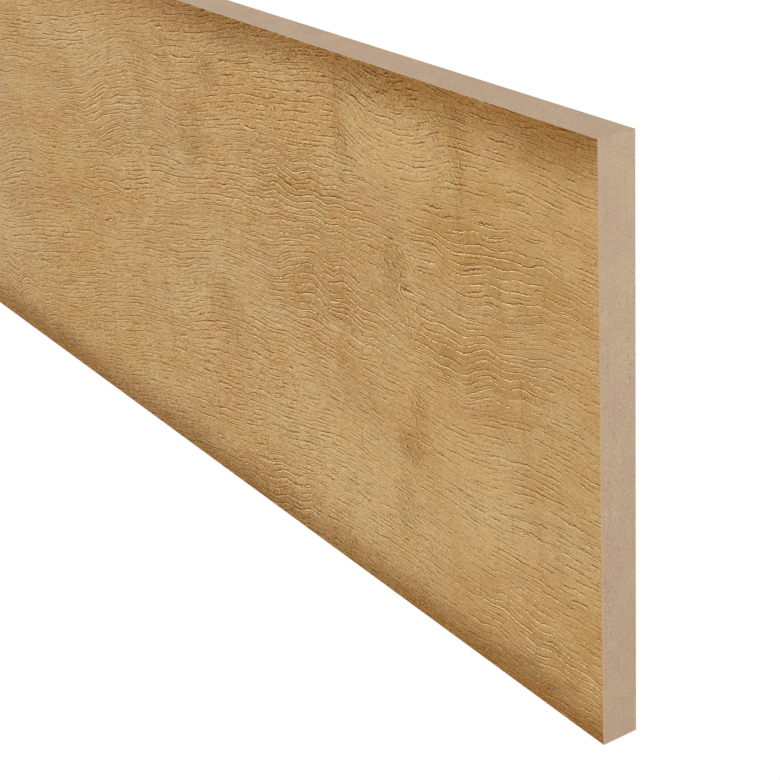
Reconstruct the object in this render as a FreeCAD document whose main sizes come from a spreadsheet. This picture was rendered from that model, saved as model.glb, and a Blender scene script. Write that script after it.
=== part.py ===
"""Stair riser board: a sawn fibreboard core with a thin wood-look laminate on its front.

The board lies on its back with its front up. X runs along the board, Y runs across it from
the bottom edge, which stands on the tread, to the top edge, and Z runs through its thickness.
The origin is in the middle of the back. Sizes are in millimetres.
"""

import FreeCAD, Part
import Sketcher
import os

# Driving sizes of the board: the stock's nominal length, width and overall thickness, the
# laminate's share of that thickness, and the ease planed off the laminate's long edges.
SIZES = {
    "board_length": 1193.8,
    "board_width": 187.325,
    "board_thickness": 12.7,
    "laminate_thickness": 0.5,
    "edge_ease": 0.2,
}

# The core takes what the laminate leaves of the overall thickness.
CORE_THICKNESS = "sizes.board_thickness - sizes.laminate_thickness"

# The ease never cuts right through the laminate into the core.
EASE = "min(sizes.edge_ease; 0.8 * sizes.laminate_thickness)"

ON_PLANE = 1e-6


def add_sizes(doc):
    """Spreadsheet with one named cell for each driving size."""
    sheet = doc.addObject("Spreadsheet::Sheet", "sizes")
    for row, (name, value) in enumerate(SIZES.items(), start=1):
        sheet.set(f"A{row}", name)
        sheet.set(f"B{row}", str(value))
        sheet.setAlias(f"B{row}", name)
    doc.recompute()


def add_section(body, name, height):
    """Cross-section: a rectangle as wide as the board, standing on the body's base plane."""
    sketch = body.newObject("Sketcher::SketchObject", name)
    plane = next(item for item in body.Origin.OriginFeatures if item.Role == "YZ_Plane")
    sketch.AttachmentSupport = (plane, "")
    sketch.MapMode = "FlatFace"

    corners = [FreeCAD.Vector(*place) for place in ((-1, 0), (1, 0), (1, 1), (-1, 1))]
    for corner, following in zip(corners, corners[1:] + corners[:1]):
        sketch.addGeometry(Part.LineSegment(corner, following), False)
    base, right, top, left = range(len(corners))
    line_start, line_end = 1, 2
    horizontal_axis, vertical_axis = -1, -2

    for line, following in ((base, right), (right, top), (top, left), (left, base)):
        sketch.addConstraint(Sketcher.Constraint("Coincident", line, line_end, following, line_start))
    for line in (right, left):
        sketch.addConstraint(Sketcher.Constraint("Vertical", line))
    sketch.addConstraint(Sketcher.Constraint("Horizontal", top))
    sketch.addConstraint(
        Sketcher.Constraint("Symmetric", base, line_start, base, line_end, vertical_axis)
    )
    sketch.addConstraint(Sketcher.Constraint("PointOnObject", base, line_start, horizontal_axis))

    spans = {
        "width": ("DistanceX", base, "sizes.board_width"),
        "height": ("DistanceY", right, height),
    }
    for span, (direction, line, size) in spans.items():
        index = sketch.addConstraint(Sketcher.Constraint(direction, line, line_start, line, line_end, 1))
        sketch.renameConstraint(index, span)
        sketch.setExpression(f"Constraints.{span}", size)
    return sketch


def add_layer(doc, label, height):
    """Body of one layer: its cross-section run along the board, evenly to both ends."""
    body = doc.addObject("PartDesign::Body", label)
    body.Label = label
    section = add_section(body, f"{label}_section", height)
    run = body.newObject("PartDesign::Pad", f"{label}_run")
    run.Profile = section
    run.SideType = "Symmetric"
    run.setExpression("Length", "sizes.board_length")
    body.Tip = run
    doc.recompute()
    return body


def top_long_edges(shape):
    """Names of the edges that run along the board on the top of a layer."""
    names = []
    for number, edge in enumerate(shape.Edges, start=1):
        box = edge.BoundBox
        if box.YLength < ON_PLANE and box.ZMin > shape.BoundBox.ZMax - ON_PLANE:
            names.append(f"Edge{number}")
    return names


def add_core(doc):
    """Fibreboard core, sawn square on all four edges and bare on its back."""
    return add_layer(doc, "mdf_core", CORE_THICKNESS)


def add_laminate(doc):
    """Laminate bonded over the whole front of the core, its two long edges just eased."""
    body = add_layer(doc, "face_laminate", "sizes.laminate_thickness")
    run = body.Tip
    ease = body.newObject("PartDesign::Chamfer", "eased_edges")
    ease.Base = (run, top_long_edges(run.Shape))
    ease.setExpression("Size", EASE)
    body.Tip = ease
    body.setExpression("Placement.Base.z", CORE_THICKNESS)
    doc.recompute()
    return body


def check(doc, bodies):
    """Stop if any object failed to build or a layer isn't one sound solid."""
    for item in doc.Objects:
        if {"Invalid", "Error"} & set(item.State):
            raise RuntimeError(f"{item.Label} failed to build")
    for body in bodies:
        shape = body.Shape
        if shape.isNull() or not shape.isValid() or len(shape.Solids) != 1:
            raise RuntimeError(f"{body.Label} is not one sound solid")


def main():
    """Build the board's layers and write one solid for each."""
    doc = FreeCAD.newDocument("stair_riser_board")
    add_sizes(doc)
    bodies = [add_core(doc), add_laminate(doc)]
    check(doc, bodies)
    os.makedirs("parts", exist_ok=True)
    for body in bodies:
        body.Shape.exportStep(f"parts/{body.Label}.step")
        print(body.Label, body.Shape.BoundBox, f"volume {body.Shape.Volume:.1f}")


main()
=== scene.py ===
"""Looks of a stair riser board: bare fibreboard under an oak-look laminate with pressed grain.

The board lies on its back. X runs along it, with the end that the picture shows at +X, Y runs
across it from the bottom edge to the top edge, and Z comes out of the oak front.
"""

import logging
import math
from dataclasses import dataclass
from enum import Enum
from typing import Any

import bmesh
import bpy
from mathutils import Matrix, Vector


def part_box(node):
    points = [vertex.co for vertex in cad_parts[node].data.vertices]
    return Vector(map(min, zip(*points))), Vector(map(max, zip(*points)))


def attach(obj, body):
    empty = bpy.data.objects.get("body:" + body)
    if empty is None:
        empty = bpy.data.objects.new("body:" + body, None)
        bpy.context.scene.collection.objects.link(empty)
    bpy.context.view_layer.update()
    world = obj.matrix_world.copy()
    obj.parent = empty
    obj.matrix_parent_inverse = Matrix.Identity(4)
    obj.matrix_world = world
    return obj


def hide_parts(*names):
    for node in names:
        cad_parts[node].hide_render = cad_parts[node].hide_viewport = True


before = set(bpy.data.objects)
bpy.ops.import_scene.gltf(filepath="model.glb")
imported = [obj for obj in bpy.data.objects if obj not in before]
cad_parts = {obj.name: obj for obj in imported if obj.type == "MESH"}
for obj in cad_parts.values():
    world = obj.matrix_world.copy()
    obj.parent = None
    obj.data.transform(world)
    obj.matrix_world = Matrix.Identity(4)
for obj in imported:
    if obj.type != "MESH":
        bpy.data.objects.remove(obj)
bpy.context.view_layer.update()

MM = 0.001
BODY = "root"
BAKE_MAP = "OFBake"
GRAIN = "grain"
FIGURE = "figure"
TINT = "tint"

# Points closer than this are taken as one place.
NEAR = 0.001 * MM

# Each grain line is three rows of points: the groove's two brinks and its bottom.
ROWS_A_LINE = 3

# A face's normal is below the first on the back, and beyond the second on the ends.
LOOKS_DOWN = -0.5
LOOKS_ENDWAYS = 0.9

Colour = tuple[float, float, float, float]
Pair = tuple[float, float]

log = logging.getLogger("riser_board")


class Layer(Enum):
    """The board's two layers, by the names of their solids."""

    CORE = "mdf_core"
    FACE = "face_laminate"


class Slot(Enum):
    """The record's material slots."""

    FIBREBOARD = "mdf"
    OAK = "oak_laminate"


def srgb(red: int, green: int, blue: int) -> Colour:
    """Turn a colour as a screen shows it, 0 to 255, into the linear colour that shaders take.

    Args:
        red: Red as shown.
        green: Green as shown.
        blue: Blue as shown.

    Returns:
        The linear colour, opaque.
    """
    full, toe, toe_slope, lift, power = 255, 0.04045, 12.92, 0.055, 2.4

    def linear(shown: int) -> float:
        """One channel, made linear."""
        share = shown / full
        return share / toe_slope if share <= toe else ((share + lift) / (1 + lift)) ** power

    return (linear(red), linear(green), linear(blue), 1.0)


class Signal:
    """An output socket that Python's operators turn into Math nodes."""

    def __init__(self, graph: "Graph", socket: bpy.types.NodeSocket) -> None:
        """Hold an output socket of a graph's node."""
        self.graph = graph
        self.socket = socket

    def _math(self, operation: str, *values: Any) -> "Signal":
        """Add a Math node that works on these values."""
        return self.graph.node("ShaderNodeMath", {"operation": operation}, dict(enumerate(values)))

    def __add__(self, other: Any) -> "Signal":
        """self + other."""
        return self._math("ADD", self, other)

    def __radd__(self, other: Any) -> "Signal":
        """other + self."""
        return self._math("ADD", other, self)

    def __sub__(self, other: Any) -> "Signal":
        """self - other."""
        return self._math("SUBTRACT", self, other)

    def __rsub__(self, other: Any) -> "Signal":
        """other - self."""
        return self._math("SUBTRACT", other, self)

    def __mul__(self, other: Any) -> "Signal":
        """self * other."""
        return self._math("MULTIPLY", self, other)

    def __rmul__(self, other: Any) -> "Signal":
        """other * self."""
        return self._math("MULTIPLY", other, self)

    def __truediv__(self, other: Any) -> "Signal":
        """self / other."""
        return self._math("DIVIDE", self, other)

    def __pow__(self, other: Any) -> "Signal":
        """self ** other."""
        return self._math("POWER", self, other)

    def __neg__(self) -> "Signal":
        """-self."""
        return self._math("MULTIPLY", self, -1.0)

    def __abs__(self) -> "Signal":
        """abs(self)."""
        return self._math("ABSOLUTE", self)

    def floor(self) -> "Signal":
        """The whole number at or below the value."""
        return self._math("FLOOR", self)

    def round(self) -> "Signal":
        """The nearest whole number."""
        return self._math("ROUND", self)

    def wrap(self, low: Any, high: Any) -> "Signal":
        """The value brought into a range that repeats."""
        return self._math("WRAP", self, high, low)

    def at_most(self, other: Any) -> "Signal":
        """The smaller of the value and another."""
        return self._math("MINIMUM", self, other)

    def at_least(self, other: Any) -> "Signal":
        """The larger of the value and another."""
        return self._math("MAXIMUM", self, other)

    def rise(self, low: Any, high: Any) -> "Signal":
        """A smooth step from 0 where the value is low to 1 where it is high."""
        inputs = {"Value": self, "From Min": low, "From Max": high}
        return self.graph.node("ShaderNodeMapRange", {"interpolation_type": "SMOOTHSTEP"}, inputs)

    def held(self) -> "Signal":
        """The value held between 0 and 1."""
        return self.graph.node("ShaderNodeClamp", inputs={"Value": self})

    def centred(self) -> "Signal":
        """A value from 0 to 1, moved to lie about 0."""
        return self - 0.5

    def signed(self) -> "Signal":
        """A value from 0 to 1, spread from -1 to 1."""
        return 2 * self - 1

    def lift(self, least: float) -> "Signal":
        """A value from 0 to 1, raised to run from a least value to 1."""
        return least + (1 - least) * self

    def bell(self, width: float) -> "Signal":
        """A smooth bump: 1 where the value is 0, fading to 0 at a width to either side."""
        return 1 - abs(self).rise(0.0, width)

    def other(self, name: str) -> "Signal":
        """Another output of the same node."""
        return Signal(self.graph, self.graph.pick(self.socket.node.outputs, name))

    def parts(self) -> tuple["Signal", "Signal", "Signal"]:
        """The three components of a vector."""
        x = self.graph.node("ShaderNodeSeparateXYZ", inputs={0: self})
        return x, x.other("Y"), x.other("Z")


@dataclass(frozen=True)
class Ramp:
    """A smooth rise from 0 at one value to a share at another, which may be the lower of the two."""

    start: float
    end: float
    share: float = 1.0

    def of(self, value: Signal) -> Signal:
        """The share that a value gets."""
        return self.share * value.rise(self.start, self.end)


@dataclass(frozen=True)
class PatchNoise:
    """Noise over a surface: the size of its patches, a tag of its own and its finer octaves."""

    length: float
    height: float
    tag: float
    detail: float = 0.0
    rough: float = 0.5

    def at(self, x: Signal, y: Signal, seed: Any = 0.0) -> Signal:
        """The noise at a place, between 0 and 1, with a seed added to its tag."""
        place = (x / self.length, y / self.height, seed + self.tag)
        return x.graph.noise(*place, self.detail, self.rough)


@dataclass(frozen=True)
class RowNoise:
    """Noise along the lines of a grain: its run, the step from line to line, a tag and octaves."""

    run: float
    step: float
    tag: float
    detail: float = 0.0

    def at(self, x: Any, row: Signal, seed: Any = 0.0) -> Signal:
        """The noise at a place along a line, between 0 and 1, with a seed added to its tag."""
        place = (x / self.run, self.step * row, seed + self.tag)
        return row.graph.noise(*place, self.detail)


@dataclass(frozen=True)
class LumpNoise:
    """Noise through the board: the size of its lumps along and through it, a tag and octaves."""

    length: float
    depth: float
    tag: float = 0.0
    detail: float = 0.0
    rough: float = 0.5

    def at(self, x: Signal, y: Signal, z: Signal) -> Signal:
        """The noise at a place, between 0 and 1."""
        place = (x / self.length, y / self.length, z / self.depth + self.tag)
        return x.graph.noise(*place, self.detail, self.rough)


class Graph:
    """A node tree that is being wired."""

    def __init__(self, tree: bpy.types.NodeTree) -> None:
        """Start from an empty tree."""
        self.tree = tree
        tree.nodes.clear()

    @staticmethod
    def pick(sockets: Any, key: str | int) -> bpy.types.NodeSocket:
        """Find a socket.

        Args:
            sockets: A node's inputs or outputs.
            key: The socket's number, or its name among those in use.

        Returns:
            The socket.
        """
        if isinstance(key, int):
            return sockets[key]
        return next(socket for socket in sockets if socket.name == key and socket.enabled)

    def node(
        self,
        kind: str,
        settings: dict[str, Any] | None = None,
        inputs: dict[str | int, Any] | None = None,
        output: str | int = 0,
    ) -> Signal | None:
        """Add a node.

        Args:
            kind: The node's type.
            settings: Its properties, set first.
            inputs: Values or signals for its input sockets, by name or number.
            output: The output socket to hand back.

        Returns:
            That output, or nothing where the node has none.
        """
        made = self.tree.nodes.new(kind)
        for name, value in (settings or {}).items():
            setattr(made, name, value)
        for key, value in (inputs or {}).items():
            socket = self.pick(made.inputs, key)
            if isinstance(value, Signal):
                self.tree.links.new(value.socket, socket)
            else:
                socket.default_value = value
        return Signal(self, self.pick(made.outputs, output)) if made.outputs else None

    def vector(self, x: Any, y: Any, z: Any) -> Signal:
        """Join three values to a vector."""
        return self.node("ShaderNodeCombineXYZ", inputs={0: x, 1: y, 2: z})

    def noise(self, x: Any, y: Any, z: Any, detail: float, rough: float = 0.5) -> Signal:
        """Smooth noise between 0 and 1 that changes over one unit of each coordinate.

        Args:
            x: First coordinate.
            y: Second coordinate.
            z: Third coordinate, or a number that sets one noise apart from the next.
            detail: How many finer octaves are added.
            rough: How strong each finer octave is.

        Returns:
            The noise.
        """
        inputs = {"Vector": self.vector(x, y, z), "Scale": 1.0, "Detail": detail, "Roughness": rough}
        return self.node("ShaderNodeTexNoise", inputs=inputs)

    def mix(self, share: Any, first: Any, second: Any, how: str = "MIX") -> Signal:
        """Blend two colours.

        Args:
            share: How far the blend goes, from 0 to 1.
            first: Colour at 0.
            second: Colour at 1, or the colour that works on the first.
            how: Blend type.

        Returns:
            The blended colour.
        """
        settings = {"data_type": "RGBA", "blend_type": how}
        return self.node("ShaderNodeMix", settings, {"Factor": share, "A": first, "B": second}, "Result")

    def surface(
        self, colour: Signal, roughness: float, specular: float, bump: dict[str | int, Any]
    ) -> None:
        """Close a material with one plain surface.

        Args:
            colour: Its colour.
            roughness: Its roughness.
            specular: How strongly it reflects.
            bump: Inputs of its bump.
        """
        inputs = {
            "Base Color": colour,
            "Roughness": roughness,
            "Specular IOR Level": specular,
            "Normal": self.node("ShaderNodeBump", inputs=bump),
        }
        shader = self.node("ShaderNodeBsdfPrincipled", inputs=inputs)
        self.node("ShaderNodeOutputMaterial", inputs={"Surface": shader})


def new_material(name: str) -> tuple[bpy.types.Material, Graph]:
    """Make an empty node material.

    Args:
        name: The material's name.

    Returns:
        The material and the graph of its nodes.
    """
    material = bpy.data.materials.new(name)
    material.use_nodes = True
    return material, Graph(material.node_tree)


def new_object(name: str, data: bpy.types.ID) -> bpy.types.Object:
    """Make an object and put it into the scene.

    Args:
        name: The object's name.
        data: Its mesh, lamp or camera.

    Returns:
        The object.
    """
    made = bpy.data.objects.new(name, data)
    bpy.context.scene.collection.objects.link(made)
    return made


@dataclass(frozen=True)
class FibreboardFinish:
    """Bare sawn fibreboard: pressed wood dust with a few paler and darker fibres.

    Each noise is followed by the ramps that say where, and how much, it shows.
    """

    ground: Colour = srgb(158, 137, 113)
    pale: Colour = srgb(190, 169, 144)
    dark: Colour = srgb(120, 94, 70)
    blush: Colour = srgb(172, 140, 124)
    roughness: float = 0.85
    specular: float = 0.2
    fade_pale: Ramp = Ramp(-90.0 * MM, 90.0 * MM, 0.30)
    mottle: LumpNoise = LumpNoise(9.0 * MM, 9.0 * MM, 0.0, 3.0, 0.6)
    mottle_pale: Ramp = Ramp(0.3, 0.75, 0.22)
    mottle_blush: Ramp = Ramp(0.55, 0.3, 0.35)
    layers: LumpNoise = LumpNoise(30.0 * MM, 1.1 * MM, 0.0, 2.0)
    layer_dark: Ramp = Ramp(0.45, 0.75, 0.09)
    dust: LumpNoise = LumpNoise(0.55 * MM, 0.55 * MM, 0.0, 2.0, 0.6)
    dust_pale: Ramp = Ramp(0.5, 0.8, 0.45)
    dust_dark: Ramp = Ramp(0.5, 0.2, 0.35)
    dust_height: float = 0.7
    patches: LumpNoise = LumpNoise(60.0 * MM, 60.0 * MM, 5.0)
    patch_show: Ramp = Ramp(0.35, 0.65)
    flecks: LumpNoise = LumpNoise(0.8 * MM, 0.8 * MM, 17.0)
    fleck_pale: Ramp = Ramp(0.69, 0.76, 0.6)
    fleck_dark: Ramp = Ramp(0.28, 0.21, 0.6)
    fleck_height: float = 0.3
    fuzz: float = 0.03 * MM
    fuzz_strength: float = 0.5

    def build(self) -> bpy.types.Material:
        """Wire the material.

        Returns:
            The finished material.
        """
        material, graph = new_material("bare_fibreboard")
        place = graph.node("ShaderNodeTexCoord", output="Object").parts()
        _, across, _ = place
        mottle = self.mottle.at(*place)
        layers = self.layers.at(*place)
        dust = self.dust.at(*place)
        flecks = self.flecks.at(*place)
        patches = self.patch_show.of(self.patches.at(*place))
        tints = (
            (self.fade_pale.of(across), self.pale),
            (self.mottle_pale.of(mottle), self.pale),
            (self.mottle_blush.of(mottle), self.blush),
            (self.layer_dark.of(layers), self.dark),
            (self.dust_pale.of(dust), self.pale),
            (self.dust_dark.of(dust), self.dark),
            (patches * self.fleck_pale.of(flecks), self.pale),
            (patches * self.fleck_dark.of(flecks), self.dark),
        )
        colour = self.ground
        for share, tint in tints:
            colour = graph.mix(share, colour, tint)
        bump = {
            "Strength": self.fuzz_strength,
            "Distance": self.fuzz,
            "Height": self.dust_height * dust + self.fleck_height * flecks,
        }
        graph.surface(colour, self.roughness, self.specular, bump)
        return material


@dataclass(frozen=True)
class OakSurface:
    """What the oak finish reads at a point of the pressed face."""

    graph: Graph
    x: Signal
    y: Signal
    z: Signal
    line: Signal
    across: Signal
    dash: Signal
    bold: Signal
    wave: Signal
    smudge: Signal
    glow: Signal
    golden: Signal
    khaki: Signal
    stripe: Signal


@dataclass(frozen=True)
class OakTexture:
    """Fine texture of the print, finer than its grain lines."""

    fibres: Signal
    grit: Signal
    granules: Signal
    grains: Signal


@dataclass(frozen=True)
class Strokes:
    """Broken strokes on the lines of a grain, each a dark edge above a pale one.

    Places and widths across are shares of the gap between two lines. The dark edge is print
    with painted shade, and the pale edge below it is a painted highlight, as on a groove lit
    from the top edge. The weights say how much either edge tells in the tone.
    """

    run: float
    tag: float
    dark_weight: float
    pale_weight: float
    row_step: float = 7.31
    detail: float = 1.0
    show: Ramp = Ramp(0.44, 0.60)
    jog: RowNoise = RowNoise(1.3 * MM, 9.17, 3.3)
    jog_reach: float = 0.3
    dark_place: float = 0.09
    pale_place: float = -0.12
    edge: float = 0.15

    def edges(self, along: Signal, place: Signal) -> tuple[Signal, Signal]:
        """Wire the strokes.

        Args:
            along: Place along the lines.
            place: Place across the lines, one unit from line to line.

        Returns:
            The dark edges and the pale edges, from 0 to 1.
        """
        row = place.round()
        breaks = RowNoise(self.run, self.row_step, self.tag, self.detail)
        shown = self.show.of(breaks.at(along, row))
        jog = self.jog_reach * self.jog.at(along, row, self.tag).centred()
        offset = place - row + jog
        # The dark edge is print with painted shade; the pale edge below it is a painted highlight.
        dark = shown * (offset - self.dark_place).bell(self.edge)
        return dark, shown * (offset - self.pale_place).bell(self.edge)

    def tone(self, dark: Signal, pale: Signal) -> Signal:
        """What the dark and the pale edges add to the tone."""
        return self.pale_weight * pale - self.dark_weight * dark


@dataclass(frozen=True)
class PressedStrokesAndShading:
    """The strokes on the pressed lines, each a dark edge above a pale one.

    The dark edge is pore print with painted shade on the groove's upper wall, and the pale
    edge is a painted highlight on its lower wall. Places and widths across are shares of the
    gap between two lines.
    """

    chips: RowNoise = RowNoise(1.3 * MM, 5.3, 9.9, 1.0)
    chip_show: Ramp = Ramp(0.40, 0.52)
    chip_least: float = 0.35
    jog: RowNoise = RowNoise(1.2 * MM, 9.1, 2.2, 1.0)
    jog_reach: float = 0.25
    edge: float = 0.08
    dark_place: float = 0.05
    dark_weight: float = 2.0
    pale_place: float = -0.075
    pale_weight: float = 1.1
    pale_least: float = 0.7
    pale_wave: float = 1.3

    def tone(self, face: OakSurface, texture: OakTexture) -> Signal:
        """Wire the strokes.

        Args:
            face: The readings at a point.
            texture: The fine texture there.

        Returns:
            What the strokes add to the tone.
        """
        row = face.line.round()
        chips = self.chip_show.of(self.chips.at(face.x, row))
        jog = self.jog_reach * self.jog.at(face.x, row).centred()
        offset = face.line - row + jog
        stroke = face.dash * texture.grains
        # Dark edge on the groove's upper wall: pore print with painted shade.
        dark = stroke * chips.lift(self.chip_least) * (offset - self.dark_place).bell(self.edge)
        # Pale edge on the groove's lower wall: a painted highlight, stronger in the ripples.
        pale = (self.pale_least + self.pale_wave * face.wave) * stroke * chips
        pale = pale * (offset - self.pale_place).bell(self.edge)
        return self.pale_weight * pale - self.dark_weight * dark


@dataclass(frozen=True)
class PrintedStrokesAndShading:
    """The strokes between the pressed lines: fine ones, ticks, slanting ones and seams.

    The dark edges of the fine, tick and slanting strokes are print with painted shade, and
    their pale edges are painted highlights.
    """

    shake: PatchNoise = PatchNoise(14 * MM, 3 * MM, 7.7, 1.0)
    fine: Strokes = Strokes(7.5 * MM, 8.2, 1.3, 0.6)
    fine_lines: float = 1.9
    fine_shake: float = 1.2
    fine_dent: float = 0.4
    ticks: Strokes = Strokes(3.4 * MM, 31.6, 0.6, 0.3)
    tick_lines: float = 3.3
    tick_shake: float = 1.7
    slanting: Strokes = Strokes(3.0 * MM, 12.4, 1.82, 1.3)
    slant: float = 0.8
    slant_shake: float = 6.0 * MM
    slant_pitch: float = 2.4 * MM
    feathers: PatchNoise = PatchNoise(34 * MM, 22 * MM, 23.7, 1.0)
    feather_show: Ramp = Ramp(0.54, 0.68, 0.4)
    seams: PatchNoise = PatchNoise(1.1 * MM, 26 * MM, 15.8, 1.0)
    seam_show: Ramp = Ramp(0.72, 0.80, 0.35)
    smudge_tone: float = 0.2

    def marks(self, face: OakSurface, texture: OakTexture) -> tuple[Signal, Signal]:
        """Wire the strokes.

        Args:
            face: The readings at a point.
            texture: The fine texture there.

        Returns:
            What the strokes add to the tone, and how deep they dent the surface.
        """
        shake = self.shake.at(face.x, face.across)
        fine_place = self.fine_lines * face.line + self.fine_shake * shake
        dark_fine, pale_fine = self.fine.edges(face.x, fine_place)
        tick_place = self.tick_lines * face.line + self.tick_shake * shake
        ticks = self.ticks.edges(face.x, tick_place)
        slant_place = (face.y + self.slant * face.x + self.slant_shake * shake) / self.slant_pitch
        dark_slant, pale_slant = self.slanting.edges(face.y, slant_place)
        feathers = self.feather_show.of(self.feathers.at(face.x, face.y))
        crossed = face.smudge.at_least(feathers)
        seams = self.seam_show.of(self.seams.at(face.x, face.y))

        # The dark edges add print with painted shade, and the pale edges add painted highlights.
        tone = self.fine.tone(dark_fine, pale_fine) + self.ticks.tone(*ticks)
        tone = tone + crossed * self.slanting.tone(dark_slant, pale_slant)
        tone = tone - seams - self.smudge_tone * face.smudge
        dents = self.fine_dent * dark_fine + crossed * dark_slant
        return texture.grains * tone, texture.grains * dents


@dataclass(frozen=True)
class TextureFinish:
    """The print's texture finer than its grain lines, and how much each part of it tells."""

    fibres: PatchNoise = PatchNoise(2.6 * MM, 0.38 * MM, 1.3, 1.0, 0.7)
    fibre_tone: float = 0.7
    fibre_height: float = 0.6
    grit: PatchNoise = PatchNoise(0.42 * MM, 0.33 * MM, 4.6, 1.0, 0.8)
    grit_tone: float = 3.0
    grit_height: float = 1.4
    granules: PatchNoise = PatchNoise(1.1 * MM, 0.7 * MM, 27.3, 1.0)
    granule_tone: float = 0.25
    grains: PatchNoise = PatchNoise(0.55 * MM, 0.42 * MM, 19.4, 1.0)
    grain_show: Ramp = Ramp(0.36, 0.62, 0.85)
    grain_least: float = 0.5

    def read(self, face: OakSurface) -> OakTexture:
        """Wire the texture.

        Args:
            face: The readings at a point.

        Returns:
            Fibres along the grain, grit, coarser granules, and the grains that break strokes up.
        """
        fibres = self.fibres.at(face.x, face.across).centred()
        grit = self.grit.at(face.x, face.across).centred()
        granules = self.granules.at(face.x, face.y).centred()
        grains = self.grain_show.of(self.grains.at(face.x, face.y))
        return OakTexture(fibres, grit, granules, self.grain_least + grains)

    def tone(self, face: OakSurface, texture: OakTexture) -> Signal:
        """What the texture adds to the tone."""
        coarse = self.fibre_tone * texture.fibres + self.grit_tone * face.bold * texture.grit
        return coarse + self.granule_tone * texture.granules

    def height(self, texture: OakTexture) -> Signal:
        """How high the texture stands."""
        return self.grit_height * texture.grit + self.fibre_height * texture.fibres


@dataclass(frozen=True)
class GroundFinish:
    """The print's colour under its strokes: pale and brown patches in step with the figure.

    Each noise is followed by the ramps that say where, and how much, it shows.
    """

    ground: Colour = srgb(190, 148, 89)
    pale: Colour = srgb(196, 161, 108)
    pale_spot: Colour = srgb(206, 173, 120)
    brown: Colour = srgb(169, 120, 55)
    golden: Colour = (0.98, 0.945, 0.81, 1.0)
    khaki: Colour = (0.965, 0.985, 1.05, 1.0)
    mottle: PatchNoise = PatchNoise(30 * MM, 14 * MM, 3.1, 3.0, 0.6)
    mottle_pale: Ramp = Ramp(0.3, 0.72)
    clouds: PatchNoise = PatchNoise(60 * MM, 28 * MM, 33.1, 2.0)
    cloud_brown: Ramp = Ramp(0.48, 0.66, 0.36)
    veins: RowNoise = RowNoise(24 * MM, 0.5, 17.2, 2.0)
    vein_brown: Ramp = Ramp(0.55, 0.7, 0.4)
    wave_vein_brown: Ramp = Ramp(0.38, 0.62, 0.45)
    fillings: RowNoise = RowNoise(13 * MM, 3.7, 21.1)
    wave_filling_brown: Ramp = Ramp(0.52, 0.60, 0.35)
    bands: PatchNoise = PatchNoise(9 * MM, 45 * MM, 5.7, 2.0)
    band_brown: Ramp = Ramp(0.5, 0.75, 0.25)
    hues: PatchNoise = PatchNoise(26 * MM, 12 * MM, 41.7, 2.0)
    hue_golden: Ramp = Ramp(0.5, 0.7, 0.5)
    hue_khaki: Ramp = Ramp(0.5, 0.3, 0.7)
    stripe_brown: float = 0.65
    stripe_least: float = 0.4
    smudge_brown: float = 0.18
    smudge_least: float = 0.3
    glow_pale: float = 0.5
    ragged_middle: float = 0.6
    ragged_gain: float = 3.0

    def colour(self, face: OakSurface, texture: OakTexture) -> Signal:
        """Wire the colour.

        Args:
            face: The readings at a point.
            texture: The fine texture there.

        Returns:
            The colour.
        """
        graph = face.graph
        mottle = self.mottle.at(face.x, face.across)
        clouds = self.clouds.at(face.x, face.across)
        veins = self.veins.at(face.x, face.line)
        fillings = self.fillings.at(face.x, face.line.floor())
        bands = self.bands.at(face.x, face.y)
        hues = self.hues.at(face.x, face.across)
        ragged = (self.ragged_middle + self.ragged_gain * texture.fibres).held()
        browned = (
            ragged * self.cloud_brown.of(clouds),
            face.wave * ragged * self.wave_vein_brown.of(veins),
            face.wave * self.wave_filling_brown.of(fillings),
            self.stripe_brown * face.stripe * ragged.lift(self.stripe_least),
            ragged * self.vein_brown.of(veins),
            self.band_brown.of(bands),
        )
        colour = graph.mix(self.mottle_pale.of(mottle), self.ground, self.pale)
        for share in browned:
            colour = graph.mix(share, colour, self.brown)
        colour = graph.mix(self.glow_pale * face.glow, colour, self.pale_spot)
        golden = face.golden.at_least(self.hue_golden.of(hues))
        khaki = face.khaki.at_least(self.hue_khaki.of(hues))
        colour = graph.mix(golden, colour, self.golden, "MULTIPLY")
        colour = graph.mix(khaki, colour, self.khaki, "MULTIPLY")
        smudged = self.smudge_brown * face.smudge * ragged.lift(self.smudge_least)
        return graph.mix(smudged, colour, self.brown)


@dataclass(frozen=True)
class ScorchFinish:
    """Scorching that fades from the long edges with a ragged border."""

    tint: Colour = (0.61, 0.47, 0.29, 1.0)
    fade: Ramp = Ramp(21.0 * MM, 0.0)
    fall: float = 1.6
    below: float = 1.2
    waver: PatchNoise = PatchNoise(22 * MM, 12 * MM, 2.4, 3.0, 0.6)
    waver_reach: float = 10.0 * MM
    drift: PatchNoise = PatchNoise(55 * MM, 60 * MM, 6.2)
    drift_reach: float = 7.0 * MM

    def share(self, face: OakSurface, half_width: float) -> Signal:
        """Wire the share of scorching, which reaches further in from the bottom edge.

        Args:
            face: The readings at a point.
            half_width: From the middle of the board to a long edge.

        Returns:
            The share, from 0 to 1.
        """
        waver = self.waver.at(face.x, face.y).centred()
        drift = self.drift.at(face.x, face.y).centred()
        to_edge = (half_width - face.y).at_most((half_width + face.y) / self.below)
        to_edge = to_edge + waver * self.waver_reach + drift * self.drift_reach
        return self.fade.of(to_edge) ** self.fall


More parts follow.
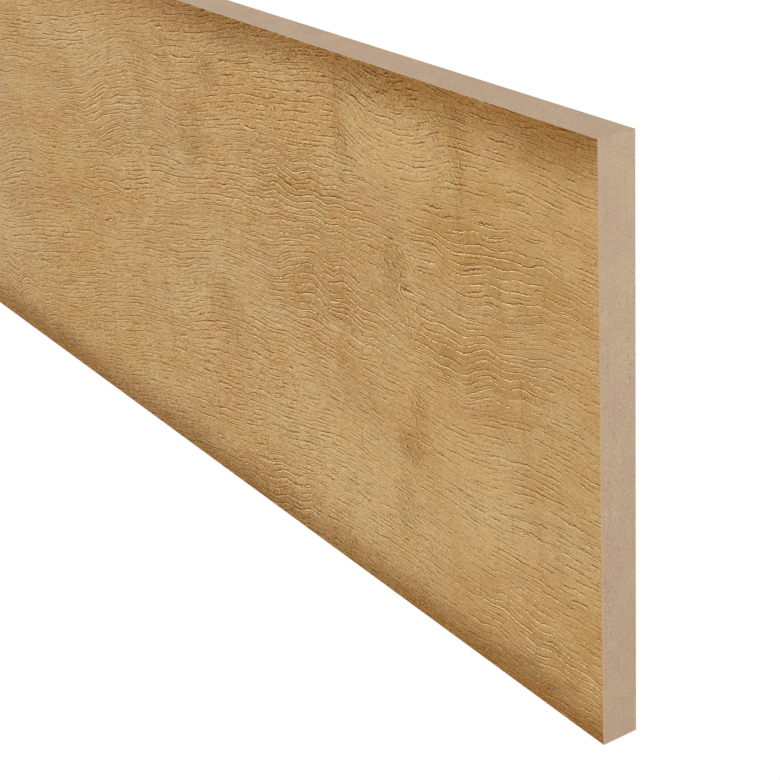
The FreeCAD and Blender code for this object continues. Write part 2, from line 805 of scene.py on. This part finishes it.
@dataclass(frozen=True)
class OakFinish:
    """Oak-look print, satin, in register with the pressed grain.

    Its strokes carry painted shade and painted highlights beside the grooves, as well as print.
    """

    ground: GroundFinish = GroundFinish()
    texture: TextureFinish = TextureFinish()
    pressed: PressedStrokesAndShading = PressedStrokesAndShading()
    printed: PrintedStrokesAndShading = PrintedStrokesAndShading()
    scorch: ScorchFinish = ScorchFinish()
    scorch_tone: float = 0.6
    # The dark colour is pore print and painted shade; the pale colour is cream print and painted
    # highlights.
    pore_and_shade: Colour = srgb(108, 66, 0)
    cream_and_highlight: Colour = srgb(240, 212, 165)
    sawn: Colour = srgb(172, 148, 120)
    roughness: float = 0.5
    specular: float = 0.12
    line_pitch: float = 3.0 * MM
    print_end: Ramp = Ramp(0.09 * MM, 0.117 * MM)
    press_depth: float = 0.09 * MM
    press_strength: float = 0.35

    def _read(self, graph: Graph) -> OakSurface:
        """Read the pressed face's attributes and the place on it.

        Args:
            graph: The tree that is being wired.

        Returns:
            The readings.
        """
        def attribute(name: str) -> tuple[Signal, Signal, Signal]:
            """The three values of an attribute."""
            return graph.node("ShaderNodeAttribute", {"attribute_name": name}, output="Vector").parts()

        bold, line, dash = attribute(GRAIN)
        x, y, z = graph.node("ShaderNodeTexCoord", output="Object").parts()
        across = line * self.line_pitch
        figure = (*attribute(FIGURE), *attribute(TINT))
        return OakSurface(graph, x, y, z, line, across, dash, bold, *figure)

    def build(self, half_width: float, front: float) -> bpy.types.Material:
        """Wire the material.

        Args:
            half_width: From the middle of the board to a long edge.
            front: Height of the printed front.

        Returns:
            The finished material.
        """
        material, graph = new_material("oak_print")
        face = self._read(graph)
        texture = self.texture.read(face)
        scorched = self.scorch.share(face, half_width)
        printed, dents = self.printed.marks(face, texture)
        tone = self.texture.tone(face, texture) * (1 + self.scorch_tone * scorched) + printed
        tone = face.bold * (tone + self.pressed.tone(face, texture))

        colour = self.ground.colour(face, texture)
        # Dark tone mixes towards pore print and painted shade, pale tone towards cream print and painted
        # highlights.
        colour = graph.mix((-tone).held(), colour, self.pore_and_shade)
        colour = graph.mix(tone.held(), colour, self.cream_and_highlight)
        colour = graph.mix(scorched, colour, self.scorch.tint, "MULTIPLY")
        colour = graph.mix(self.print_end.of(front - face.z), colour, self.sawn)
        bump = {
            "Strength": self.press_strength,
            "Distance": self.press_depth,
            "Height": self.texture.height(texture) - dents,
        }
        graph.surface(colour, self.roughness, self.specular, bump)
        return material


@dataclass(frozen=True)
class FigureSpot:
    """A patch of the oak's figure, placed as on the printed sheet.

    Places are from the near end and from the top edge, and sizes are half extents, all in
    millimetres.
    """

    from_end: float
    from_top: float
    half_length: float
    half_height: float
    strength: float = 1.0


RIPPLES = (
    FigureSpot(45, 52, 42, 16),
    FigureSpot(57, 84, 40, 17),
    FigureSpot(30, 168, 40, 20),
    FigureSpot(158, 53, 42, 17),
    FigureSpot(147, 88, 44, 19),
    FigureSpot(190, 178, 30, 14),
    FigureSpot(252, 96, 40, 14, 0.3),
    FigureSpot(330, 60, 44, 17, 0.8),
)
SMUDGES = (
    FigureSpot(100, 65, 7, 15, 0.8),
    FigureSpot(90, 112, 5, 12, 0.8),
    FigureSpot(96, 125, 8, 6, 1.3),
    FigureSpot(101, 149, 7, 12, 0.8),
    FigureSpot(128, 22, 3, 21, 0.7),
    FigureSpot(63, 22, 3, 20, 0.7),
    FigureSpot(217, 23, 10, 7),
    FigureSpot(218, 116, 15, 11, 0.7),
    FigureSpot(232, 48, 11, 15, 0.6),
)
EYES = (FigureSpot(97, 20, 25, 17),)
ARCHES = (
    FigureSpot(285, 52, 38, 30),
    FigureSpot(226, 104, 38, 28, 0.5),
    FigureSpot(330, 86, 26, 22, 0.7),
    FigureSpot(-12, 100, 62, 44, 1.2),
)
PALE_SPOTS = (
    FigureSpot(60, 131, 24, 26),
    FigureSpot(130, 146, 54, 27),
    FigureSpot(312, 42, 30, 22, 0.6),
    FigureSpot(235, 106, 48, 26, 0.4),
)
GOLDEN_SPOTS = (
    FigureSpot(350, 100, 58, 36),
    FigureSpot(345, 152, 70, 26),
    FigureSpot(172, 28, 42, 15, 0.7),
    FigureSpot(212, 168, 44, 14, 0.7),
)
KHAKI_SPOTS = (
    FigureSpot(20, 106, 30, 42),
    FigureSpot(262, 58, 38, 22, 0.6),
)
STRIPES = (
    FigureSpot(42, 45, 24, 4, 0.4),
    FigureSpot(155, 50, 34, 6, 0.8),
    FigureSpot(67, 82, 30, 5),
    FigureSpot(140, 86, 34, 7),
)

# In the order of the masks that OakFigure holds.
FIGURE_SPOTS = (
    RIPPLES, SMUDGES, EYES, ARCHES, PALE_SPOTS, GOLDEN_SPOTS, KHAKI_SPOTS, STRIPES,
)


@dataclass(frozen=True)
class OakFigure:
    """How strongly each kind of figure shows at a point of the sheet."""

    ripples: Signal
    smudges: Signal
    eyes: Signal
    arches: Signal
    pale: Signal
    golden: Signal
    khaki: Signal
    stripes: Signal


@dataclass(frozen=True)
class SheetPoint:
    """A point of the sheet before it is pressed, as the pressing tree sees it."""

    x: Signal
    y: Signal
    from_end: Signal
    line: Signal
    middle: Signal
    seed: Signal

    def patches(self, noise: PatchNoise) -> Signal:
        """Noise over the sheet, between -1 and 1, the same on all of a line's rows."""
        return noise.at(self.x, self.middle, self.seed).signed()

    def rows(self, noise: RowNoise) -> Signal:
        """Noise along the point's line, between -1 and 1."""
        return noise.at(self.x, self.line, self.seed).signed()


@dataclass(frozen=True)
class GrainFlow:
    """How the grain lines run: broadly, and then each in its own way."""

    lean: float = 70.0 * MM
    lean_out: Ramp = Ramp(90.0 * MM, 560.0 * MM)
    lean_back: Ramp = Ramp(650.0 * MM, 1120.0 * MM)
    sway: PatchNoise = PatchNoise(120 * MM, 80 * MM, 0.3)
    sway_reach: float = 7.0 * MM
    roll: PatchNoise = PatchNoise(46 * MM, 38 * MM, 11.3)
    roll_reach: float = 3.2 * MM
    curl: PatchNoise = PatchNoise(12 * MM, 30 * MM, 23.3)
    curl_reach: float = 3.0 * MM
    curl_least: float = 0.12
    curl_ripple: float = 1.15
    wander: RowNoise = RowNoise(11 * MM, 5.7, 31.3)
    wander_reach: float = 0.8 * MM
    wander_hush: float = 1.8
    jitter: RowNoise = RowNoise(1.9 * MM, 9.7, 81.3)
    jitter_reach: float = 0.14 * MM
    stagger: RowNoise = RowNoise(1.0, 7.31, 43.3)
    stagger_at: float = 0.1
    arch_rise: float = 6.5 * MM
    eye_sink: float = 4.5 * MM

    def broad(self, point: SheetPoint) -> Signal:
        """Wire the broad run of the lines, which the figure follows too.

        Args:
            point: A point of the sheet.

        Returns:
            Its place across the board.
        """
        lean = self.lean * (self.lean_back.of(point.from_end) - self.lean_out.of(point.from_end))
        sway = self.sway_reach * point.patches(self.sway)
        roll = self.roll_reach * point.patches(self.roll)
        return point.y + lean + sway + roll

    def own(self, point: SheetPoint, broad: Signal, figure: OakFigure) -> Signal:
        """Wire how each line departs from the broad run.

        Args:
            point: A point of the sheet.
            broad: Its place across the board by the broad run.
            figure: The figure there.

        Returns:
            Its place across the board.
        """
        curl_share = self.curl_least + self.curl_ripple * figure.ripples
        curl = self.curl_reach * point.patches(self.curl) * curl_share
        own_way = self.wander_reach * (1 - self.wander_hush * figure.eyes).at_least(0.0)
        wander = own_way * point.rows(self.wander)
        jitter = self.jitter_reach * point.rows(self.jitter)
        shift = self.stagger.at(self.stagger_at, point.line, point.seed).signed()
        bulge = self.arch_rise * figure.arches - self.eye_sink * figure.eyes
        return broad + curl + wander + jitter + own_way * shift + bulge


@dataclass(frozen=True)
class GrainDashes:
    """How the grain lines break into dashes, and how boldly these show along the board."""

    own: RowNoise = RowNoise(8 * MM, 7.31, 51.3)
    own_weight: float = 0.6
    shared: RowNoise = RowNoise(10 * MM, 0.45, 61.3)
    shared_weight: float = 0.5
    ripple_weight: float = 0.3
    show: Ramp = Ramp(-0.15, 0.2)
    patches: PatchNoise = PatchNoise(48 * MM, 24 * MM, 71.3)
    patch_show: Ramp = Ramp(-0.4, 0.3, 0.35)
    patch_least: float = 0.7
    patch_ripple: float = 0.3
    chips: RowNoise = RowNoise(2.2 * MM, 6.1, 91.3)
    chip_show: Ramp = Ramp(-0.45, 0.15, 0.35)
    chip_least: float = 0.65
    eye_hush: float = 0.55
    smudge_hush: float = 0.5
    near_boldness: float = 0.66
    far_boldness: float = 1.02
    bold_from: float = 210.0 * MM

    def dash(self, point: SheetPoint, figure: OakFigure) -> Signal:
        """Wire the dashes.

        Args:
            point: A point of the sheet.
            figure: The figure there.

        Returns:
            How strong the dash at the point is, 0 between dashes.
        """
        mixed = self.own_weight * point.rows(self.own) + self.shared_weight * point.rows(self.shared)
        mixed = mixed + self.ripple_weight * figure.ripples
        patch = self.patch_show.of(point.patches(self.patches))
        strength = (self.patch_least + patch + self.patch_ripple * figure.ripples).at_most(1.0)
        chips = self.chip_least + self.chip_show.of(point.rows(self.chips))
        quiet = (1 - self.eye_hush * figure.eyes) * (1 - self.smudge_hush * figure.smudges)
        return self.show.of(mixed) * strength * chips * quiet

    def bold(self, point: SheetPoint) -> Signal:
        """How boldly the grain shows, more so away from the near end."""
        gain = self.far_boldness - self.near_boldness
        return self.near_boldness + gain * point.from_end.rise(0.0, self.bold_from)


@dataclass
class FaceLaminate:
    """The laminate on the front, pressed with the grain of the oak that is printed on it."""

    finish: OakFinish
    low: Vector
    high: Vector
    flow: GrainFlow = GrainFlow()
    dashes: GrainDashes = GrainDashes()
    ease: float = 0.2 * MM
    groove_half_width: float = 0.22 * MM
    groove_depth: float = 0.038 * MM
    spare: float = 92.0 * MM
    columns: int = 496
    repeat: float = 398.0 * MM
    spot_edge: float = 1.6
    seed: int = 7
    strips: int = 3
    gutter: float = 0.01
    hem: float = 0.03
    hem_back: Pair = (0.1, 0.3)
    hem_ends: Pair = (0.5, 0.4)
    end_width: float = 0.45

    @property
    def length(self) -> float:
        """Length of the sheet."""
        return self.high.x - self.low.x

    @property
    def width(self) -> float:
        """Width of the sheet."""
        return self.high.y - self.low.y

    @property
    def lines(self) -> int:
        """Number of grain lines on the sheet before it is trimmed to the board."""
        return math.ceil((self.width + 2 * self.spare) / self.finish.line_pitch)

    def _spots(self, x: Signal, y: Signal, spots: tuple[FigureSpot, ...]) -> Signal:
        """Mask of some figure patches, repeated along the sheet.

        Args:
            x: Place along the board.
            y: Place across the board.
            spots: The patches.

        Returns:
            A patch's strength in its middle, and 0 away from all of them.
        """
        mask = None
        for spot in spots:
            off_x = (self.high.x - spot.from_end * MM - x).wrap(-0.5 * self.repeat, 0.5 * self.repeat)
            off_y = self.high.y - spot.from_top * MM - y
            across = (off_x / (spot.half_length * MM)) ** 2 + (off_y / (spot.half_height * MM)) ** 2
            one = spot.strength * across.bell(self.spot_edge)
            mask = one if mask is None else mask.at_least(one)
        return mask

    def _inputs(self, material: bpy.types.Material) -> dict[str, tuple[str, Any]]:
        """List the inputs of the tree that presses the grain.

        Args:
            material: The sheet's material.

        Returns:
            Socket type and value of each input, by name.
        """
        number, count = "NodeSocketFloat", "NodeSocketInt"
        return {
            "Length": (number, self.length),
            "Line Pitch": (number, self.finish.line_pitch),
            "Lines": (count, self.lines),
            "Columns": (count, self.columns),
            "Groove Half Width": (number, self.groove_half_width),
            "Groove Depth": (number, self.groove_depth),
            "Front Height": (number, self.high.z),
            "Seed": (count, self.seed),
            "Material": ("NodeSocketMaterial", material),
        }

    def _tree(self, sockets: dict[str, tuple[str, Any]]) -> bpy.types.NodeTree:
        """Wire the tree that presses the grain lines into a sheet wider than the board.

        Args:
            sockets: Type and value of each input.

        Returns:
            The node group.
        """
        tree = bpy.data.node_groups.new("pressed_grain", "GeometryNodeTree")
        graph = Graph(tree)
        tree.interface.new_socket("Geometry", in_out="OUTPUT", socket_type="NodeSocketGeometry")
        for name, (kind, _) in sockets.items():
            tree.interface.new_socket(name, in_out="INPUT", socket_type=kind)
        given = graph.node("NodeGroupInput", output="Length")
        pitch = given.other("Line Pitch")
        lines = given.other("Lines")

        rows = ROWS_A_LINE * lines
        inputs = {
            "Size X": given,
            "Size Y": rows - 1,
            "Vertices X": given.other("Columns"),
            "Vertices Y": rows,
        }
        sheet = graph.node("GeometryNodeMeshGrid", inputs=inputs)
        x, row_place, _ = graph.node("GeometryNodeInputPosition").parts()
        row = (row_place + 0.5 * (rows - 1)).round()
        line = ((row + 0.5) / ROWS_A_LINE).floor()
        side = (row - ROWS_A_LINE * line - 1).round()
        place_on_line = line + side * given.other("Groove Half Width") / pitch
        y = (place_on_line - 0.5 * (lines - 1)) * pitch
        middle = (line - 0.5 * (lines - 1)) * pitch
        point = SheetPoint(x, y, self.high.x - x, line, middle, given.other("Seed"))

        broad = self.flow.broad(point)
        figure = OakFigure(*(self._spots(x, broad, spots) for spots in FIGURE_SPOTS))
        dash = self.dashes.dash(point, figure)
        depth = given.other("Groove Depth") * dash * (1 - abs(side))
        across = self.flow.own(point, broad, figure)
        place = graph.vector(x, across, given.other("Front Height") - depth)
        glow = figure.eyes.at_least(figure.pale)
        stored = {
            GRAIN: graph.vector(self.dashes.bold(point), place_on_line, dash),
            FIGURE: graph.vector(figure.ripples, figure.smudges, glow),
            TINT: graph.vector(figure.golden, figure.khaki, figure.stripes),
        }
        for name, value in stored.items():
            settings = {"data_type": "FLOAT_VECTOR", "domain": "POINT"}
            inputs = {"Geometry": sheet, "Name": name, "Value": value}
            sheet = graph.node("GeometryNodeStoreNamedAttribute", settings, inputs)
        sheet = graph.node("GeometryNodeSetPosition", inputs={"Geometry": sheet, "Position": place})
        sheet = graph.node("GeometryNodeRealizeInstances", inputs={"Geometry": sheet})
        inputs = {"Geometry": sheet, "Material": given.other("Material")}
        sheet = graph.node("GeometryNodeSetMaterial", inputs=inputs)
        graph.node("NodeGroupOutput", inputs={"Geometry": sheet})
        return tree

    def _press(self, material: bpy.types.Material) -> bpy.types.Mesh:
        """Run the tree and keep its result as a plain mesh.

        Args:
            material: The sheet's material.

        Returns:
            The pressed sheet, open and not yet trimmed.
        """
        blank = new_object("laminate_blank", bpy.data.meshes.new("laminate_blank"))
        sockets = self._inputs(material)
        tree = self._tree(sockets)
        modifier = blank.modifiers.new("pressed_grain", "NODES")
        modifier.node_group = tree
        for item in tree.interface.items_tree:
            if item.name in sockets:
                modifier[item.identifier] = sockets[item.name][1]
        depsgraph = bpy.context.evaluated_depsgraph_get()
        mesh = bpy.data.meshes.new_from_object(blank.evaluated_get(depsgraph))
        bpy.data.objects.remove(blank)
        return mesh

    def _wall(
        self, sheet: bmesh.types.BMesh, top: list[bmesh.types.BMVert], side: int, inner: float
    ) -> list[list[bmesh.types.BMVert]]:
        """Ease one long edge of the sheet and take it down to the core.

        Args:
            sheet: The sheet, sawn to its width.
            top: The points of its pressed front.
            side: 1 at the top edge, -1 at the bottom edge.
            inner: From the middle of the board to where the ease begins.

        Returns:
            Rows of points along the edge, from the front down.
        """
        rim = sorted((v for v in top if abs(v.co.y - side * inner) < NEAR), key=lambda v: v.co.x)
        if len(rim) < self.columns:
            raise ValueError("the pressed sheet doesn't reach the long edges")
        rows = [rim]
        for height in (self.high.z - self.ease, self.low.z):
            lower = []
            for vert in rim:
                place = (vert.co.x, side * 0.5 * self.width, height)
                # The example hands its attributes on, so the place is set after it.
                copy = sheet.verts.new(place, vert)
                copy.co = place
                lower.append(copy)
            rows.append(lower)
        for upper, lower in zip(rows, rows[1:]):
            for i in range(len(rim) - 1):
                sheet.faces.new((upper[i], upper[i + 1], lower[i + 1], lower[i]))
        return rows

    def _trim(self, mesh: bpy.types.Mesh) -> None:
        """Saw the sheet to the board's width, ease its long edges and close it underneath.

        Args:
            mesh: The pressed sheet, changed in place.
        """
        sheet = bmesh.new()
        sheet.from_mesh(mesh)
        inner = 0.5 * self.width - self.ease
        for side in (1, -1):
            geometry = [*sheet.verts, *sheet.edges, *sheet.faces]
            bmesh.ops.bisect_plane(
                sheet, geom=geometry, dist=NEAR, plane_co=(0, side * inner, 0),
                plane_no=(0, side, 0), clear_outer=True,
            )
        top = list(sheet.verts)
        upper_wall, lower_wall = (self._wall(sheet, top, side, inner) for side in (1, -1))
        sheet.faces.new([*upper_wall[-1], *reversed(lower_wall[-1])])
        for end in (0, -1):
            x = upper_wall[0][end].co.x
            profile = sorted((v for v in top if abs(v.co.x - x) < NEAR), key=lambda v: v.co.y)
            left = [row[end] for row in reversed(lower_wall[1:])]
            right = [row[end] for row in upper_wall[1:]]
            sheet.faces.new([*left, *profile, *right])
        bmesh.ops.recalc_face_normals(sheet, faces=sheet.faces)
        sheet.to_mesh(mesh)
        sheet.free()
        mesh.shade_flat()

    def _on_back(self, place: Vector) -> Pair:
        """Where a point of the back lies on the map.

        Args:
            place: The point.

        Returns:
            The place on the map, in the hem above the strips.
        """
        start, span = self.hem_back
        across = place.y / self.width + 0.5
        return (place.x - self.low.x) / self.length, 1 - self.hem * (start + span * across)

    def _on_end(self, place: Vector, near: bool) -> Pair:
        """Where a point of an end lies on the map.

        Args:
            place: The point.
            near: Whether it is on the near end.

        Returns:
            The place on the map, in the hem beside the back.
        """
        start, span = self.hem_ends
        side = 0.5 if near else 0.0
        across = place.y / self.width + 0.5
        height = (place.z - self.low.z) / (self.high.z - self.low.z)
        return side + self.end_width * across, 1 - self.hem * (start + span * height)

    def _on_strip(self, place: Vector, strip: int) -> Pair:
        """Where a point of the front or of a long edge lies on the map.

        Args:
            place: The point.
            strip: Number of the strip that its face belongs to.

        Returns:
            The place on the map, with the long edges folded out beside the front.
        """
        y = place.y
        if abs(y) > 0.5 * self.width - self.ease:
            y = math.copysign(abs(y) + self.high.z - place.z, y)
        half_reach = 0.5 * self.width + self.high.z - self.low.z
        inner = 1 - 2 * self.gutter
        along = (place.x - self.low.x) / (self.length / self.strips) - strip
        across = 0.5 + 0.5 * y / half_reach
        row_height = (1 - self.hem) / self.strips
        return self.gutter + inner * along, (strip + self.gutter + inner * across) * row_height

    def _lay_out(self, mesh: bpy.types.Mesh) -> None:
        """Lay the long sheet out in strips, one above the other, so that its print fills a square.

        Args:
            mesh: The trimmed sheet, which gets a UV map.
        """
        layer = mesh.uv_layers.new(name=BAKE_MAP)
        strip_length = self.length / self.strips
        for face in mesh.polygons:
            strip = min(int((face.center.x - self.low.x) / strip_length), self.strips - 1)
            for corner in face.loop_indices:
                place = mesh.vertices[mesh.loops[corner].vertex_index].co
                if face.normal.z < LOOKS_DOWN:
                    spot = self._on_back(place)
                elif abs(face.normal.x) > LOOKS_ENDWAYS:
                    spot = self._on_end(place, face.normal.x > 0)
                else:
                    spot = self._on_strip(place, strip)
                layer.uv[corner].vector = spot

    def build(self) -> bpy.types.Object:
        """Make the pressed laminate.

        Returns:
            The finished piece.
        """
        material = self.finish.build(0.5 * self.width, self.high.z)
        mesh = self._press(material)
        self._trim(mesh)
        self._lay_out(mesh)
        mesh.name = "pressed_oak_face"
        mesh.materials.clear()
        mesh.materials.append(material)
        mesh.polygons.foreach_set("material_index", [0] * len(mesh.polygons))
        piece = new_object("pressed_oak_face", mesh)
        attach(piece, BODY)
        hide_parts(Layer.FACE.value)
        return piece


@dataclass
class FibreboardCore:
    """The fibreboard core, which keeps its own solid."""

    finish: FibreboardFinish

    def dress(self) -> bpy.types.Object:
        """Give the core its finish.

        Returns:
            The core's object.
        """
        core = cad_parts[Layer.CORE.value]
        core.data.materials.clear()
        core.data.materials.append(self.finish.build())
        return core


@dataclass
class Studio:
    """Pale floor, soft light and the picture's camera."""

    face: Vector
    near_end: float
    top_edge: float
    floor_size: float = 12.0
    floor_tone: float = 0.8
    floor_glow: float = 0.85
    sky: float = 0.42
    key: float = 3.6
    key_azimuth: float = 40.0
    key_height: float = 37.0
    key_softness: float = 22.0
    aim_from_end: float = 107.0 * MM
    aim_from_top: float = 108.2 * MM
    distance: float = 584.3 * MM
    azimuth: float = 28.45
    elevation: float = 28.78
    roll: float = -3.68
    lens: float = 82.8
    sensor: float = 36.0

    @staticmethod
    def _direction(azimuth: float, elevation: float) -> Vector:
        """Direction from the board, with the azimuth turned from +X towards +Y, in degrees."""
        turn, rise = math.radians(azimuth), math.radians(elevation)
        return Vector((math.cos(rise) * math.cos(turn), math.cos(rise) * math.sin(turn), math.sin(rise)))

    def build_floor(self) -> bpy.types.Object:
        """Lay the floor.

        Returns:
            The floor.
        """
        material, graph = new_material("pale_floor")
        path = graph.node("ShaderNodeLightPath", output="Is Camera Ray")
        seen = path + path.other("Is Glossy Ray") + path.other("Is Transmission Ray")
        seen = seen.at_most(1.0)
        tone = (self.floor_tone, self.floor_tone, self.floor_tone, 1.0)
        white = (1.0, 1.0, 1.0, 1.0)
        matte = graph.node("ShaderNodeBsdfDiffuse", inputs={"Color": graph.mix(seen, tone, white)})
        glow = graph.node("ShaderNodeEmission", inputs={"Strength": 1.0})
        shader = graph.node("ShaderNodeMixShader", inputs={0: self.floor_glow * seen, 1: matte, 2: glow})
        graph.node("ShaderNodeOutputMaterial", inputs={"Surface": shader})

        sheet = bmesh.new()
        bmesh.ops.create_grid(sheet, x_segments=1, y_segments=1, size=0.5 * self.floor_size)
        mesh = bpy.data.meshes.new("pale_floor")
        sheet.to_mesh(mesh)
        sheet.free()
        mesh.materials.append(material)
        floor = new_object("pale_floor", mesh)
        return floor

    def build_light(self) -> None:
        """Light the board with an even sky and one soft key from its top edge and near end."""
        world = bpy.data.worlds.new("studio")
        world.use_nodes = True
        graph = Graph(world.node_tree)
        path = graph.node("ShaderNodeLightPath", output="Is Camera Ray")
        seen = (path + path.other("Is Transmission Ray")).at_most(1.0)
        strength = self.sky + (1.0 - self.sky) * seen
        sky = graph.node("ShaderNodeBackground", inputs={"Strength": strength})
        graph.node("ShaderNodeOutputWorld", inputs={"Surface": sky})
        bpy.context.scene.world = world

        lamp = bpy.data.lights.new("key", "SUN")
        lamp.energy = self.key
        lamp.angle = math.radians(self.key_softness)
        key = new_object("key", lamp)
        towards = self._direction(self.key_azimuth, self.key_height)
        key.rotation_mode = "QUATERNION"
        key.rotation_quaternion = towards.to_track_quat("Z", "Y")
        key.location = self.face + towards

    def build_camera(self) -> None:
        """Set the camera as the picture's was, with the board's width upright in its view."""
        back = self._direction(self.azimuth, self.elevation)
        level = (-back).cross(Vector((0, 1, 0))).normalized()
        upright = back.cross(level)
        turn = math.radians(self.roll)
        right = level * math.cos(turn) + upright * math.sin(turn)
        up = back.cross(right)
        aim = Vector((self.near_end - self.aim_from_end, self.top_edge - self.aim_from_top, self.face.z))
        lens = bpy.data.cameras.new("picture")
        lens.sensor_width = self.sensor
        lens.lens = self.lens
        camera = new_object("picture", lens)
        turned = Matrix((right, up, back)).transposed().to_4x4()
        camera.matrix_world = Matrix.Translation(aim + back * self.distance) @ turned
        bpy.context.scene.camera = camera


def main() -> None:
    """Dress the board, set it in the studio and report each piece."""
    logging.basicConfig(level=logging.INFO, format="%(name)s: %(message)s")
    bpy.context.scene.view_settings.view_transform = "Standard"
    core = FibreboardCore(FibreboardFinish()).dress()
    log.info("%s: dressed, %d triangles", core.name, len(core.data.polygons))
    low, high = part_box(Layer.FACE.value)
    face = FaceLaminate(OakFinish(), low, high).build()
    triangles = sum(len(polygon.vertices) - 2 for polygon in face.data.polygons)
    log.info("%s: pressed, %d triangles", face.name, triangles)
    studio = Studio(Vector((0, 0, high.z)), high.x, high.y)
    studio.build_floor()
    studio.build_light()
    studio.build_camera()


if __name__ == "__main__":
    main()
